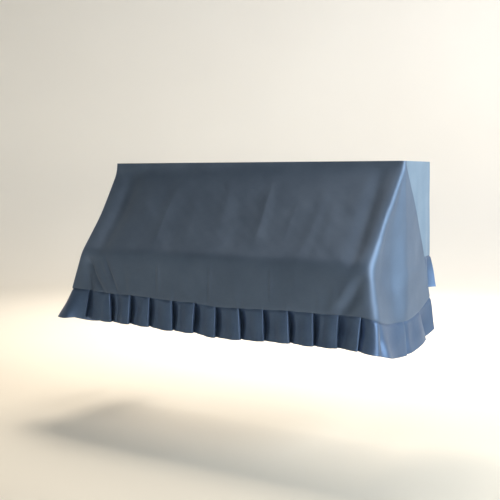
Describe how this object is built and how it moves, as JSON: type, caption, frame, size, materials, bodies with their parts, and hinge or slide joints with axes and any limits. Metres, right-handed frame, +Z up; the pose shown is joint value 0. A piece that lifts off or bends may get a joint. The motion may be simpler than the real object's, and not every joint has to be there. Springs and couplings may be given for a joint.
{
  "type": "fitted cover for an upright piano",
  "caption": "Hollow satin cover that drapes an upright piano's top and key bed, with a knife-pleated frill round its hem.",
  "frame": {"origin": "middle of the top panel's underside, where the cover lies on the piano's lid", "axes": "+X to the right of somebody who faces the front, +Y towards the rear, +Z up; the sloping front faces -Y"},
  "size_m": [1.7125, 0.7074, 0.8147],
  "materials": {
    "satin_top": "polyester satin, smoke blue, soft sheen",
    "satin_front": "polyester satin, smoke blue, soft sheen",
    "satin_flap": "polyester satin, smoke blue, soft sheen",
    "satin_frill": "polyester satin, smoke blue, soft sheen, pressed pleats"
  },
  "bodies": {
    "root": {"top_panel": "satin_top", "front_panel": "satin_front", "front_frill": "satin_frill", "side_flap_left": "satin_flap", "side_flap_right": "satin_flap", "flap_frill_left": "satin_frill", "flap_frill_right": "satin_frill"}
  },
  "joints": []
}
